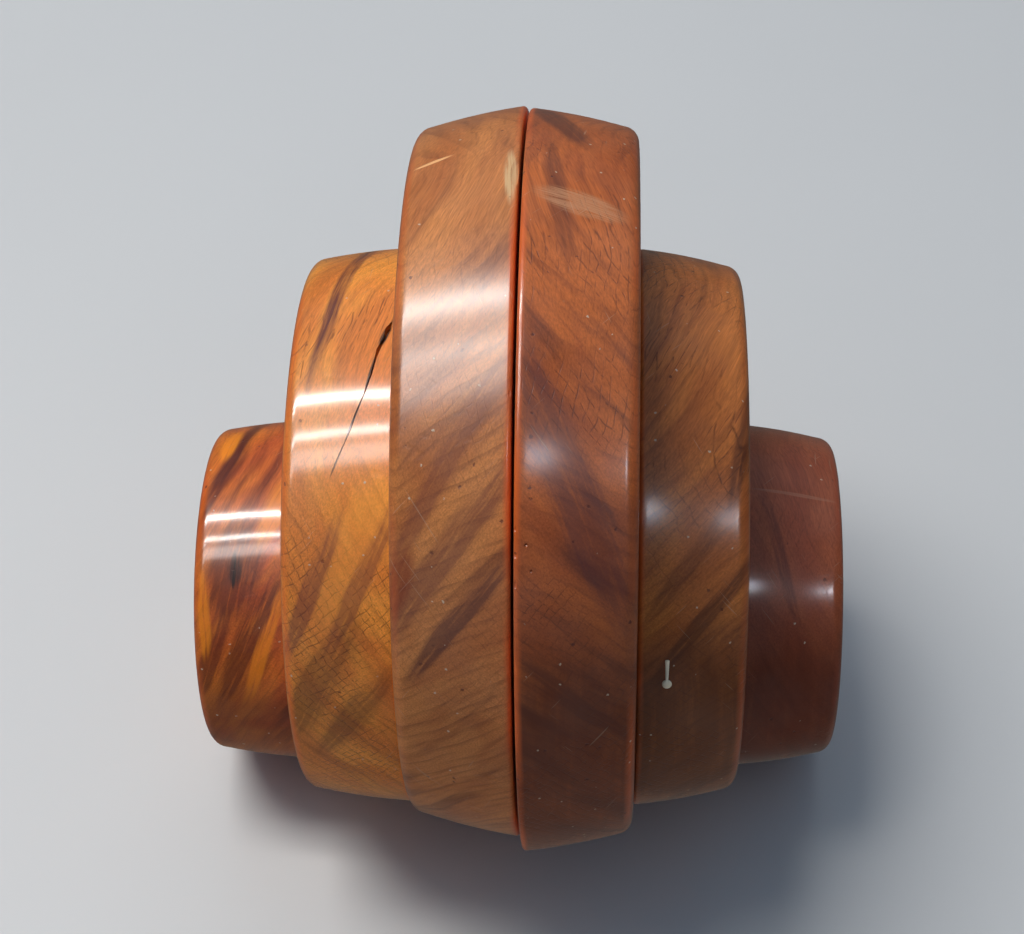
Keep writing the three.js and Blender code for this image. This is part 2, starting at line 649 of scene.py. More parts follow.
@dataclass
class Grain:
    """Coordinates and patterns that follow a ring's fibres and growth rings."""

    shader: Shader
    timber: Timber
    centre: Vector

    def __post_init__(self) -> None:
        """Finds the frame of fibre, radius and tangent, and bends it a little."""
        shader = self.shader
        fibre = Vector(self.timber.fibre).normalized()
        pith = Vector(self.timber.pith) * MM
        radial = (pith - pith.dot(fibre) * fibre).normalized()
        turn = Matrix((fibre, radial, fibre.cross(radial))).transposed().to_euler()
        cloud = shader.node("ShaderNodeTexNoise")
        shader.link(shader.place(), cloud.inputs["Vector"])
        cloud.inputs["Scale"].default_value = BEND_SCALE
        cloud.inputs["Detail"].default_value = 2
        bend = shader.node("ShaderNodeVectorMath", operation="MULTIPLY_ADD")
        shader.link(cloud.outputs["Color"], bend.inputs[0])
        bend.inputs[1].default_value = (BEND,) * 3
        bend.inputs[2].default_value = (-BEND / 2,) * 3
        shifted = shader.node("ShaderNodeVectorMath", operation="ADD")
        shader.link(shader.place(), shifted.inputs[0])
        shader.link(bend.outputs["Vector"], shifted.inputs[1])
        self.bent = shifted.outputs["Vector"]
        self.frame = shader.mapped(self.bent, tuple(self.centre + pith), tuple(turn))

    def layered(self, fibre: float, radial: float, tangent: float) -> Socket:
        """Coordinates squeezed so that noise of size one has these lengths, in mm.

        Args:
            fibre: Length along the fibres.
            radial: Length across the growth rings.
            tangent: Length along the growth rings.

        Returns:
            The coordinates.
        """
        offset = self.timber.seed * SEED_STEP
        size = (fibre * MM, radial * MM, tangent * MM)
        return self.shader.mapped(self.frame, (offset, offset, offset), scale=size)

    def streaks(
        self,
        lengths: Triple,
        detail: float = 2,
        roughness: float = 0.5,
        distortion: float = 0.0,
    ) -> Socket:
        """Noise with these lengths along the fibre, the radius and the tangent, in mm."""
        layered = self.layered(*lengths)
        return self.shader.noise(layered, 1.0, detail, roughness, distortion)

    def years(self) -> Socket:
        """Dark late-wood lines around the pith, some stronger than others, from 0 to 1.

        Returns:
            A mask from 0 to 1.
        """
        shader = self.shader
        _, radial, tangent = shader.split(self.frame)
        reach = shader.distance(radial, tangent)
        wander = self.streaks((90, 16, 30))
        count = shader.math("MULTIPLY", reach, 1 / (self.timber.year * MM))
        count = shader.math("MULTIPLY_ADD", wander, 2.4, count)
        share = shader.math("FRACT", count)
        line = shader.ramp(share, [(0.0, 0.1), (0.5, 0.0), (0.84, 0.85), (0.94, 1.0), (1.0, 0.1)])
        strength = shader.ramp(self.streaks((70, 2.6, 30)), [(0.36, 0.15), (0.66, 1.0)])
        return shader.math("MULTIPLY", line, strength)


@dataclass
class RingForm:
    """Where one ring is and how it is shaped, read from its solid.

    Args:
        node: The solid's name.
        shoulder: Radius that the taper reaches at the outer face.
    """

    node: str
    shoulder: float
    low: Vector = field(init=False)
    high: Vector = field(init=False)
    centre: Vector = field(init=False)
    crest: float = field(init=False)
    side: int = field(init=False)

    def __post_init__(self) -> None:
        """Reads the ring's box."""
        self.low, self.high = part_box(self.node)
        self.centre = (self.low + self.high) / 2
        self.crest = (self.high.z - self.low.z) / 2
        self.side = -1 if self.node.startswith("left") else 1

    @property
    def inner(self) -> float:
        """Place of the inner face along X."""
        return self.low.x if self.side > 0 else self.high.x

    @property
    def outer(self) -> float:
        """Place of the outer face along X."""
        return self.high.x if self.side > 0 else self.low.x

    @property
    def width(self) -> float:
        """Distance between the two faces."""
        return self.high.x - self.low.x

    def radius(self, along: float) -> float:
        """Radius of the crowned taper at a distance from the inner face."""
        share = min(max(along / self.width, 0), 1)
        return self.crest - (self.crest - self.shoulder) * share + CROWN * 4 * share * (1 - share)

    def rim_point(self, along: float, angle: float, lift: float = 0.0) -> Vector:
        """A point on the rim.

        Args:
            along: Distance from the inner face, in mm.
            angle: Degrees from the top towards the front.
            lift: Height above the rim, in mm.

        Returns:
            The point, in metres.
        """
        reach = self.radius(along * MM) + lift * MM
        turn = math.radians(angle)
        return Vector(
            (
                self.inner + self.side * along * MM,
                self.centre.y - reach * math.sin(turn),
                self.centre.z + reach * math.cos(turn),
            )
        )

    def outward(self, angle: float) -> Vector:
        """Direction away from the ring's middle at an angle from the top."""
        turn = math.radians(angle)
        return Vector((0, -math.sin(turn), math.cos(turn)))


class WoodFinish:
    """Lacquered, worn hardwood for one ring."""

    def __init__(self, timber: Timber, form: RingForm, stains_and_shade: list[StainOrShade]) -> None:
        """Builds the whole material.

        Args:
            timber: The wood.
            form: The ring that it is for.
            stains_and_shade: Dark and light places on its rim, the broad ones over the lower
                front being painted shade.
        """
        self.timber = timber
        self.form = form
        self.shader = Shader(timber.name)
        self.grain = Grain(self.shader, timber, form.centre)
        colour, relief = self.bare_wood()
        for stain_or_shade in stains_and_shade:
            colour = self.stained_or_shaded(colour, stain_or_shade)
        # painted highlight: lighter colour along both rounded edges
        colour = self.painted_edge_highlight(colour)
        colour, rough, relief = self.handled(colour, relief)
        surface = self.shader.surface
        self.shader.link(colour, surface.inputs["Base Color"])
        self.shader.link(rough, surface.inputs["Roughness"])
        for name, value in LACQUER.items():
            surface.inputs[name].default_value = value
        surface.inputs["Coat Roughness"].default_value = self.timber.gloss_blur
        self.shader.carve(relief, 0.5, 0.25 * MM)

    def bare_wood(self) -> tuple[Socket, Socket]:
        """Flames, dark bands, growth rings, fibres, pores and checks.

        Returns:
            The wood's colour and its relief.
        """
        shader, timber, grain = self.shader, self.timber, self.grain
        flame = shader.rise(grain.streaks((46, 11, 24), 3, 0.55, 0.5), 0.36, 0.66, ease=True)
        colour = shader.cover(flame, timber.flame, timber.body, timber.pale)
        band = shader.rise(grain.streaks((80, 5.5, 34), 3, 0.6), 0.5, 0.72, ease=True)
        colour = shader.cover(band, timber.band_depth, colour, timber.dark)
        thread = shader.rise(grain.streaks((60, 0.75, 16), 3, 0.6), 0.52, 0.74)
        colour = shader.cover(thread, THREAD_SHARE * timber.band_depth, colour, timber.dark)
        years = grain.years()
        colour = shader.cover(years, timber.year_depth, colour, timber.dark)
        fibre = grain.streaks((9, 0.32, 0.32), 3, 0.6)
        shade = shader.ramp(fibre, [(0.28, 0.66), (0.72, 1.25)])
        colour = shader.mix(0.75, colour, shader.mix(1.0, colour, shade, "MULTIPLY"))
        checks = self.checks()
        deep = tuple(0.5 * channel for channel in timber.dark)
        colour = shader.cover(checks, timber.check_depth, colour, deep)
        relief = shader.math("MULTIPLY", years, -0.1)
        relief = shader.pile(relief, ((fibre, 0.15), (checks, -0.6 * timber.check_depth)))
        return colour, relief

    def checks(self) -> Socket:
        """Fine dark lines that cross the growth rings, gathered in patches.

        Returns:
            A mask from 0 to 1.
        """
        shader = self.shader
        wander = self.grain.streaks((14, 6, 5))
        sets = []
        for part in shader.split(self.grain.frame)[1:]:
            count = shader.math("MULTIPLY", part, 1 / CHECK_GAP)
            share = shader.math("FRACT", shader.math("MULTIPLY_ADD", wander, 1.6, count))
            sets.append(shader.ramp(share, [(0.82, 0.0), (0.91, 1.0), (0.99, 0.0)]))
        line = shader.math("MAXIMUM", *sets)
        patch = shader.patches(42, 0.38, 0.54)
        broken = shader.rise(self.grain.streaks((2.2, 1.6, 0.8)), 0.38, 0.56)
        return shader.math("MULTIPLY", line, shader.math("MULTIPLY", patch, broken))

    def stained_or_shaded(self, colour: Socket, stain_or_shade: StainOrShade) -> Socket:
        """Lays one long place over the wood, its edges torn along its own length.

        Args:
            colour: The wood's colour so far.
            stain_or_shade: The place to lay over it.

        Returns:
            The new colour.
        """
        shader = self.shader
        first, last = (self.form.rim_point(*end) for end in (stain_or_shade.start, stain_or_shade.end))
        run = last - first
        outward = self.form.outward((stain_or_shade.start[1] + stain_or_shade.end[1]) / 2)
        across = outward.cross(run).normalized()
        deep = run.normalized().cross(across)
        turn = Matrix((run.normalized(), across, deep)).transposed().to_euler()
        sagitta = run.length**2 / (8 * self.form.crest)
        width, thread = stain_or_shade.width * MM, stain_or_shade.thread * MM
        size = (STAIN_SPREAD * run.length, STAIN_SPREAD * width, width + 2 * sagitta)
        strand = tuple(thread * share for share in STRAND)
        middle = tuple((first + last) / 2)
        place = shader.place() if stain_or_shade.straight else self.grain.bent
        ball = shader.node("ShaderNodeTexGradient", gradient_type="SPHERICAL")
        shader.link(shader.mapped(place, middle, tuple(turn), size), ball.inputs["Vector"])
        torn = shader.noise(shader.mapped(place, middle, tuple(turn), strand), 1.0, 3, 0.6)
        tear = TEAR * stain_or_shade.wisp
        torn = shader.math("MULTIPLY_ADD", torn, tear, -tear / 2)
        body = shader.rise(ball.outputs["Fac"], 0.0, 0.55, ease=True)
        mask = shader.math("ADD", body, shader.math("MULTIPLY", torn, body), clamp=True)
        return shader.cover(mask, stain_or_shade.strength, colour, stain_or_shade.colour)

    def painted_edge_highlight(self, colour: Socket) -> Socket:
        """Paints a patchy lighter highlight along both rounded edges, standing in for light
        caught on the rims.

        Args:
            colour: The wood's colour so far.

        Returns:
            The new colour.
        """
        shader, form = self.shader, self.form
        place_x, place_y, place_z = shader.split(shader.place())
        along = shader.math("MULTIPLY_ADD", place_x, form.side, -form.side * form.inner)
        wander = shader.noise(shader.place(), 60, 2)
        along = shader.math("MULTIPLY_ADD", wander, GLOW_WANDER, along)
        share = shader.math("MULTIPLY", along, 1 / form.width)
        edge = shader.ramp(share, GLOW_SHARES)
        off_y = shader.math("SUBTRACT", place_y, form.centre.y)
        off_z = shader.math("SUBTRACT", place_z, form.centre.z)
        radius = shader.distance(off_y, off_z)
        from_rim = (GLOW_REACH - form.shoulder) / GLOW_FADE
        near_rim = shader.math("MULTIPLY_ADD", radius, 1 / GLOW_FADE, from_rim, clamp=True)
        patch = shader.ramp(shader.noise(shader.place(), 34, 3), [(0.38, 0.1), (0.6, 0.85)])
        share = shader.math("MULTIPLY", shader.math("MULTIPLY", edge, patch), near_rim)
        # painted highlight, strongest at the rims and fading inwards from them
        return shader.mix(share, colour, self.timber.glow)

    def handled(self, colour: Socket, relief: Socket) -> tuple[Socket, Socket, Socket]:
        """Adds specks, scratches, haze and dents from years of use.

        Args:
            colour: The wood's colour so far.
            relief: Its relief so far.

        Returns:
            The colour, the roughness and the relief.
        """
        shader = self.shader
        specks = self.specks(480, 0.075, 0.87)
        pits = self.specks(400, 0.09, 0.9)
        lines = shader.math("MAXIMUM", *(self.scratches(turn) for turn in SCRATCH_TURNS))
        haze = shader.patches(38, 0.4, 0.7, 4, 0.6)
        colour = shader.cover(specks, 0.8, colour, SPECK)
        colour = shader.cover(pits, 0.8, colour, self.timber.dark)
        colour = shader.cover(lines, 0.24, colour, SCRATCH)
        colour = shader.cover(haze, 0.05, colour, HAZE)
        rough = shader.math("MULTIPLY_ADD", haze, 0.12, 0.3)
        rough = shader.math("MULTIPLY_ADD", lines, 0.2, rough)
        swell = shader.noise(shader.place(), 70, 1)
        dents = shader.patches(240, 0.3, 0.36)
        layers = ((swell, 2.2), (lines, -0.3), (dents, 0.25), (specks, 0.3), (pits, -0.6))
        return colour, rough, shader.pile(relief, layers)

    def specks(self, scale: float, size: float, rare: float) -> Socket:
        """Scattered tiny marks.

        Args:
            scale: How many cells there are in a metre, each with at most one mark.
            size: How much of its cell a mark fills.
            rare: Which share of the cells stay empty.

        Returns:
            A mask from 0 to 1.
        """
        shader = self.shader
        dots = shader.node("ShaderNodeTexVoronoi", feature="F1")
        shader.link(shader.place(), dots.inputs["Vector"])
        dots.inputs["Scale"].default_value = scale
        ragged = shader.math("MULTIPLY_ADD", shader.noise(shader.place(), 2600, 2), 0.3, -0.15)
        reach = shader.math("ADD", dots.outputs["Distance"], ragged)
        near = shader.ramp(reach, [(size, 1.0), (size * 1.8, 0.0)])
        chance = shader.node("ShaderNodeSeparateColor")
        shader.link(dots.outputs["Color"], chance.inputs[0])
        chosen = shader.rise(chance.outputs[0], rare, rare + 0.02)
        return shader.math("MULTIPLY", near, chosen)

    def scratches(self, turn: Triple) -> Socket:
        """Long thin lines in one leaning direction, gathered in patches.

        Args:
            turn: Which way they lean, in radians.

        Returns:
            A mask from 0 to 1.
        """
        shader = self.shader
        cells = shader.mapped(shader.place(), rotation=turn, scale=SCRATCH_CELL)
        line = shader.rise(shader.noise(cells, 1.0, 1), 0.74, 0.77)
        return shader.math("MULTIPLY", line, shader.patches(55, 0.5, 0.6))


# ---------------------------------------------------------------- rings


@dataclass(frozen=True)
class Nick:
    """A small piece knocked out of a ring.

    Args:
        along: Distance from the inner face, in mm.
        angle: Degrees from the top towards the front.
        size: Half its size along the spindle, round the rim and into the wood, in mm.
        lift: Height of its middle above the rim, in mm.
    """

    along: float
    angle: float
    size: Triple
    lift: float = 0.0


@dataclass(frozen=True)
class Crack:
    """A drying crack, running from one point on a rim to the next.

    Args:
        stations: Each point on its way, as the distance from the inner face in mm and the degrees
            from the top, with how wide it gapes there in mm.
        depth: How deep it goes, in mm.
    """

    stations: tuple[tuple[tuple[float, float], float], ...]
    depth: float = 3.0


@dataclass
class Ring:
    """One turned ring, from its blank to its finish.

    Args:
        form: Its place and shape.
        timber: Its wood.
        stains_and_shade: Dark and light places on its rim, the broad ones over the lower front
            being painted shade.
        nicks: Small pieces missing from it.
        cracks: Drying cracks in it.
        seated: Whether an end button is let into its outer face.
    """

    form: RingForm
    timber: Timber
    stains_and_shade: list[StainOrShade] = field(default_factory=list)
    nicks: list[Nick] = field(default_factory=list)
    cracks: list[Crack] = field(default_factory=list)
    seated: bool = False

    def build(self) -> Piece:
        """Models the ring, dresses it and puts it in its solid's place.

        Returns:
            The finished ring.
        """
        ring = self.blank()
        self.bore(ring)
        for nick in self.nicks:
            self.chip(ring, nick)
        for crack in self.cracks:
            self.split(ring, crack)
        finish = WoodFinish(self.timber, self.form, self.stains_and_shade)
        return hand_over(ring, finish.shader.material, self.form.node, FACETED)

    def blank(self) -> Piece:
        """The tapered, crowned round with its two edges rounded and no bore.

        Returns:
            The blank, with its place in its mesh.
        """
        form = self.form
        ends = (form.low.x, form.high.x)
        ring = add_bar(form.node + "_turned", form.crest, ends, tuple(form.centre), RIM_SIDES)
        hub = (0, form.centre.y, form.centre.z)
        pick(ring, Part.CORNERS, is_corner_at(form.outer))
        resize_round(hub, form.shoulder / form.crest)
        leave_edit()
        pick(ring, Part.EDGES, is_edge_at((form.outer,)))
        bevel(SHOULDER_RADIUS, 8)
        pick(ring, Part.EDGES, is_edge_at((form.inner,)))
        bevel(LIP_RADIUS, 4)
        pick(ring, Part.EDGES, is_long_edge)
        bpy.ops.mesh.subdivide(number_cuts=TAPER_CUTS)
        leave_edit()
        self.crown(ring)
        return ring

    def crown(self, ring: Piece) -> None:
        """Raises the taper's middle, one loop after another.

        Args:
            ring: The blank.
        """
        form = self.form
        hub = (0, form.centre.y, form.centre.z)
        first, last = LIP_RADIUS * 1.1, form.width - SHOULDER_RADIUS * 1.15
        last_place = math.inf
        for place in sorted({round(corner.co.x, 6) for corner in ring.data.vertices}):
            along = form.side * (place - form.inner)
            if not first < along < last or abs(place - last_place) < CLOSE:
                continue
            last_place = place
            share = (along - first) / (last - first)
            rise = CROWN * 4 * share * (1 - share)
            pick(ring, Part.CORNERS, is_corner_at(place))
            resize_round(hub, 1 + rise / form.radius(along))
            leave_edit()

    def bore(self, ring: Piece) -> None:
        """Cuts the hole for the spindle, and the button's seat where there is one.

        Args:
            ring: The blank.
        """
        axis = axis_of("spindle")
        ends = (self.form.low.x, self.form.high.x)
        combine(ring, add_flared_cutter(BORE_RADIUS, ends, axis, FACE_EASE), "DIFFERENCE")
        if not self.seated:
            return
        floor = self.form.outer - self.form.side * SEAT_DEPTH
        past = self.form.outer + self.form.side * SEAT_DEPTH
        span = tuple(sorted((floor, past)))
        combine(ring, add_bar("seat", SEAT_RADIUS, span, axis, BORE_SIDES), "DIFFERENCE")

    def chip(self, ring: Piece, nick: Nick) -> None:
        """Knocks one small piece out of the rim.

        Args:
            ring: The bored ring.
            nick: The piece to knock out.
        """
        clear_selection()
        bpy.ops.mesh.primitive_ico_sphere_add(subdivisions=3, radius=1.0)
        ball = bpy.context.object
        along, round_rim, deep = (half * MM for half in nick.size)
        ball.scale = (along, round_rim, deep)
        ball.rotation_euler = (math.radians(nick.angle), 0, 0)
        ball.location = self.form.rim_point(nick.along, nick.angle, nick.lift)
        settle(ball)
        combine(ring, ball, "DIFFERENCE")

    def split(self, ring: Piece, crack: Crack) -> None:
        """Opens one crack with a thin blade, wide outside and sharp inside.

        Args:
            ring: The bored ring.
            crack: The crack to open.
        """
        clear_selection()
        bpy.ops.mesh.primitive_cube_add(size=1.0)
        blade = bpy.context.object
        pick(blade, Part.FACES, lambda mesh, face: face.normal.x > 0.9)
        for _ in crack.stations[2:]:
            bpy.ops.mesh.extrude_region_move(TRANSFORM_OT_translate={"value": (1, 0, 0)})
        leave_edit()
        self.shape_blade(blade, crack)
        combine(ring, blade, "DIFFERENCE")

    def shape_blade(self, blade: Piece, crack: Crack) -> None:
        """Puts every cross-section of a straight bar at its point of a crack.

        Args:
            blade: A bar of unit steps along X, from -0.5.
            crack: The crack that it is to open.
        """
        rows = [[] for _ in crack.stations]
        for corner in blade.data.vertices:
            rows[round(corner.co.x + 0.5)].append(corner.index)
        for row, (point, width) in zip(rows, crack.stations):
            for index in row:
                corner = blade.data.vertices[index]
                outside = corner.co.z > 0
                side = math.copysign(width / 2 if outside else BLADE_TIP / 2, corner.co.y)
                lift = BLADE_LIFT if outside else -crack.depth
                place = self.form.rim_point(*point, lift)
                corner.co = place + Vector((-self.form.side * side * MM, 0, 0))


# ---------------------------------------------------------------- spindle and buttons


@dataclass
class Spindle:
    """The round dowel through all six rings, with a socket in each end.

    Args:
        radius: The dowel's radius.
        chamfer: Width of the eased edge at each end.
        socket_radius: Radius of each socket.
        socket_depth: Depth of each socket.
        sharp: Edges bent by more than this many degrees stay sharp.
    """

    radius: float = 11 * MM
    chamfer: float = 0.8 * MM
    socket_radius: float = 6 * MM
    socket_depth: float = 15 * MM
    sharp: float = 40

    def build(self) -> Piece:
        """Models the dowel, dresses it and puts it in its solid's place.

        Returns:
            The finished dowel.
        """
        low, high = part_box("spindle")
        axis = axis_of("spindle")
        dowel = add_bar("spindle_turned", self.radius, (low.x, high.x), axis, TURNED_SIDES)
        pick(dowel, Part.EDGES, is_edge_at((low.x, high.x)))
        bevel(self.chamfer, 3)
        for face, inwards in ((low.x, 1), (high.x, -1)):
            ends = sorted((face - inwards * MM, face + inwards * self.socket_depth))
            socket = add_bar("socket", self.socket_radius, tuple(ends), axis, BORE_SIDES)
            combine(dowel, socket, "DIFFERENCE")
        return hand_over(dowel, turned_wood(DOWEL, Vector(axis)), "spindle", self.sharp)


@dataclass
class EndButton:
    """The turned plug in one end of the spindle.

    Args:
        node: The solid's name.
        head_radius: Radius of the head.
        head_depth: Thickness of the head.
        shank_radius: Radius of the shank.
        rim: Rounding of the head's edge.
        tip_ease: Rounding of the shank's end.
        groove_place: Distance from the head's edge to the turned groove.
        groove_side: Width of each side of the groove.
        groove_depth: Depth of the groove.
        groove_rise: How far the middle rises again from the groove's bottom.
    """

    node: str
    head_radius: float = 16 * MM
    head_depth: float = 6 * MM
    shank_radius: float = 5.5 * MM
    rim: float = 1.6 * MM
    tip_ease: float = 0.8 * MM
    groove_place: float = 3.2 * MM
    groove_side: float = 0.7 * MM
    groove_depth: float = 0.5 * MM
    groove_rise: float = 0.4 * MM

    def build(self) -> Piece:
        """Models the plug, dresses it and puts it in its solid's place.

        Returns:
            The finished plug.
        """
        low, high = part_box(self.node)
        side = -1 if self.node.startswith("left") else 1
        face, tip = (high.x, low.x) if side > 0 else (low.x, high.x)
        back = face - side * self.head_depth
        ends = (min(face, back), max(face, back))
        axis = axis_of(self.node)
        plug = add_bar(self.node + "_turned", self.head_radius, ends, axis, TURNED_SIDES)
        pick(plug, Part.FACES, is_face_at(back))
        bpy.ops.mesh.inset(thickness=self.head_radius - self.shank_radius)
        bpy.ops.mesh.extrude_region_move(TRANSFORM_OT_translate={"value": (tip - back, 0, 0)})
        leave_edit()
        pick(plug, Part.FACES, is_face_at(face))
        bpy.ops.mesh.inset(thickness=self.groove_place)
        bpy.ops.mesh.inset(thickness=self.groove_side, depth=-self.groove_depth)
        bpy.ops.mesh.inset(thickness=self.groove_side, depth=self.groove_rise)
        leave_edit()
        pick(plug, Part.EDGES, self.is_rim(face, axis))
        bevel(self.rim, 5)
        pick(plug, Part.EDGES, is_edge_at((tip,)))
        bevel(self.tip_ease, 2)
        return hand_over(plug, turned_wood(BUTTON, Vector(axis)), self.node, FACETED)

    def is_rim(self, face: float, axis: Triple) -> Callable:
        """Builds a test for the edges around the head's own face.

        Args:
            face: Where the face is along X.
            axis: A point on the plug's axis.

        Returns:
            The test, for use with pick.
        """

        def test(mesh: bpy.types.Mesh, edge: object) -> bool:
            """Whether both ends of an edge are on the rim of the face."""
            ends = [mesh.vertices[index].co for index in edge.vertices]
            reach = [math.hypot(end.y - axis[1], end.z - axis[2]) for end in ends]
            flat = all(abs(end.x - face) < 2 * CLOSE for end in ends)
            return flat and all(abs(r - self.head_radius) < 5 * CLOSE for r in reach)

        return test


def turned_wood(timber: Timber, centre: Vector) -> bpy.types.Material:
    """Plain wood for a piece that no light has faded: the dowel and the plugs.

    Args:
        timber: The wood.
        centre: The piece's middle.

    Returns:
        The material.
    """
    shader = Shader(timber.name)
    grain = Grain(shader, timber, centre)
    years = grain.years()
    flame = grain.streaks((30, 4, 8), 3)
    colour = shader.cover(flame, timber.flame, timber.body, timber.pale)
    colour = shader.cover(years, timber.year_depth, colour, timber.dark)
    fibre = grain.streaks((10, 0.25, 0.25), 3, 0.6)
    shade = shader.ramp(fibre, [(0.25, 0.7), (0.75, 1.2)])
    colour = shader.mix(0.6, colour, shader.mix(1.0, colour, shade, "MULTIPLY"))
    shader.link(colour, shader.surface.inputs["Base Color"])
    rough = shader.math("MULTIPLY_ADD", fibre, 0.2, 0.35)
    shader.link(rough, shader.surface.inputs["Roughness"])
    shader.carve(fibre, 0.4, 0.2 * MM)
    return shader.material


@dataclass
class PaintDrip:
    """A dried run of pale paint on the right medium ring: a tail above a round drop.

    Args:
        form: The ring that it lies on.
        along: Distance from the ring's inner face, in mm.
        top: Degrees from the top to its upper end.
        drop: Degrees from the top to the middle of its drop.
        lift: Height of its middle above the rim, in mm.
        drop_radius: Radius of the drop.
        tail_top: Radius of the tail's upper end.
        tail_neck: Radius of the tail where it meets the drop.
        tail_ease: Rounding of the tail's upper end.
        thickness: How thick it is, as a share of its width.
    """

    form: RingForm
    along: float = 5.7
    top: float = 68.7
    drop: float = 74.0
    lift: float = 0.1
    drop_radius: float = 0.95 * MM
    tail_top: float = 0.42 * MM
    tail_neck: float = 0.24 * MM
    tail_ease: float = 0.2 * MM
    thickness: float = 0.45

    def build(self) -> Piece:
        """Models the run and lays it on the rim.

        Returns:
            The finished run of paint.
        """
        clear_selection()
        bpy.ops.mesh.primitive_uv_sphere_add(segments=24, ring_count=16, radius=self.drop_radius)
        run = bpy.context.object
        run.name = "paint_drip"
        foot = self.form.rim_point(self.along, self.drop, self.lift)
        head = self.form.rim_point(self.along, self.top, self.lift)
        length = (head - foot).length
        combine(run, self.tail(length), "UNION")
        run.scale = (1, self.thickness, 1)
        run.rotation_euler = (math.atan2(foot.y - head.y, head.z - foot.z), 0, 0)
        run.location = foot
        settle(run)
        smooth(run, 60)
        run.data.materials.append(dried_paint())
        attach(run, self.form.node)
        LOG.info("%s: %d faces", run.name, len(run.data.polygons))
        return run

    def tail(self, length: float) -> Piece:
        """Adds the thin cone above the drop, rounded at its upper end.

        Args:
            length: Its length.

        Returns:
            The tail, standing on the origin.
        """
        clear_selection()
        bpy.ops.mesh.primitive_cone_add(
            vertices=20,
            radius1=self.tail_neck,
            radius2=self.tail_top,
            depth=length,
            location=(0, 0, length / 2),
        )
        tail = bpy.context.object
        settle(tail)
        pick(tail, Part.EDGES, lambda mesh, edge: middle_of(mesh, edge).z > length - CLOSE)
        bevel(self.tail_ease, 3)
        return tail


def dried_paint() -> bpy.types.Material:
    """Yellowed off-white paint with a little dust on it.

    Returns:
        The material.
    """
    shader = Shader("dried_paint")
    dust = shader.noise(shader.place(), 900, 3)
    colour = shader.mix(dust, srgb(255, 246, 220), srgb(248, 232, 198))
    shader.link(colour, shader.surface.inputs["Base Color"])
    shader.surface.inputs["Roughness"].default_value = 0.45
    return shader.material


# ---------------------------------------------------------------- woods of this toy

DOWEL = Timber(
    "pale_dowel_wood",
    pale=srgb(214, 176, 128),
    body=srgb(190, 146, 98),
    dark=srgb(140, 98, 60),
    glow=srgb(214, 176, 128),
    fibre=(1, 0.02, 0.01),
    pith=(0, 30, 12),
    year=1.6,
    year_depth=0.45,
)
BUTTON = Timber(
    "button_wood",
    pale=srgb(168, 112, 70),
    body=srgb(142, 88, 54),
    dark=srgb(88, 50, 30),
    glow=srgb(168, 112, 70),
    fibre=(0.1, 1, 0.2),
    pith=(30, 0, -40),
    year=1.8,
    year_depth=0.5,
)


def left_small() -> Ring:
    """The orange ring with its flame figure and knot.

    Returns:
        The ring, ready to be built.
    """
    timber = Timber(
        "orange_flame_wood",
        pale=srgb(224, 126, 42),
        body=srgb(184, 86, 42),
        dark=srgb(84, 36, 26),
        glow=srgb(232, 100, 30),
        fibre=(-1, -3.4, -0.2),
        pith=(60, 0, -30),
        year=3.0,
        year_depth=0.3,
        band_depth=0.8,
        flame=1.0,
        check_depth=0.2,
        gloss_blur=0.13,
        seed=3.0,
    )
    purple = srgb(78, 34, 30)
    glow = srgb(240, 142, 34)
    stains_and_shade = [
        StainOrShade((12.5, -44), (20.0, 12), 4.4, purple, 0.8, 0.3),
        StainOrShade((11.0, 18), (16.0, 54), 12.0, purple, 0.7, 0.7),
        StainOrShade((4.0, 34), (17.5, 84), 6.5, purple, 0.7, 0.9),
        StainOrShade((15.0, 46), (22.5, 84), 5.0, purple, 0.65, 0.9),
        StainOrShade((3.6, 42), (12.5, 84), 3.4, glow, 0.6, 1.3),
        StainOrShade((20.4, 36), (20.0, 66), 3.2, glow, 0.6, 1.3),
        StainOrShade((17.0, -30), (19.2, -8), 4.0, glow, 0.8, 0.6),
        # painted shade: broad darker band over the lower front, darker towards the bottom where
        # less light falls
        StainOrShade((11, 74), (11, 120), 40.0, srgb(112, 58, 34), 0.55, 0.2, 2.0),
        StainOrShade((1.5, -4), (8.5, 28), 6.0, glow, 0.6, 0.8),
        StainOrShade((13.2, 29), (13.4, 41), 3.4, srgb(46, 20, 20), 0.8, 0.9),
        StainOrShade((13.5, 31), (13.9, 42), 0.8, srgb(26, 12, 10), 0.9, 1.0, 0.3, True),
    ]
    return Ring(RingForm("left_small_ring", 34.4 * MM), timber, stains_and_shade, seated=True)


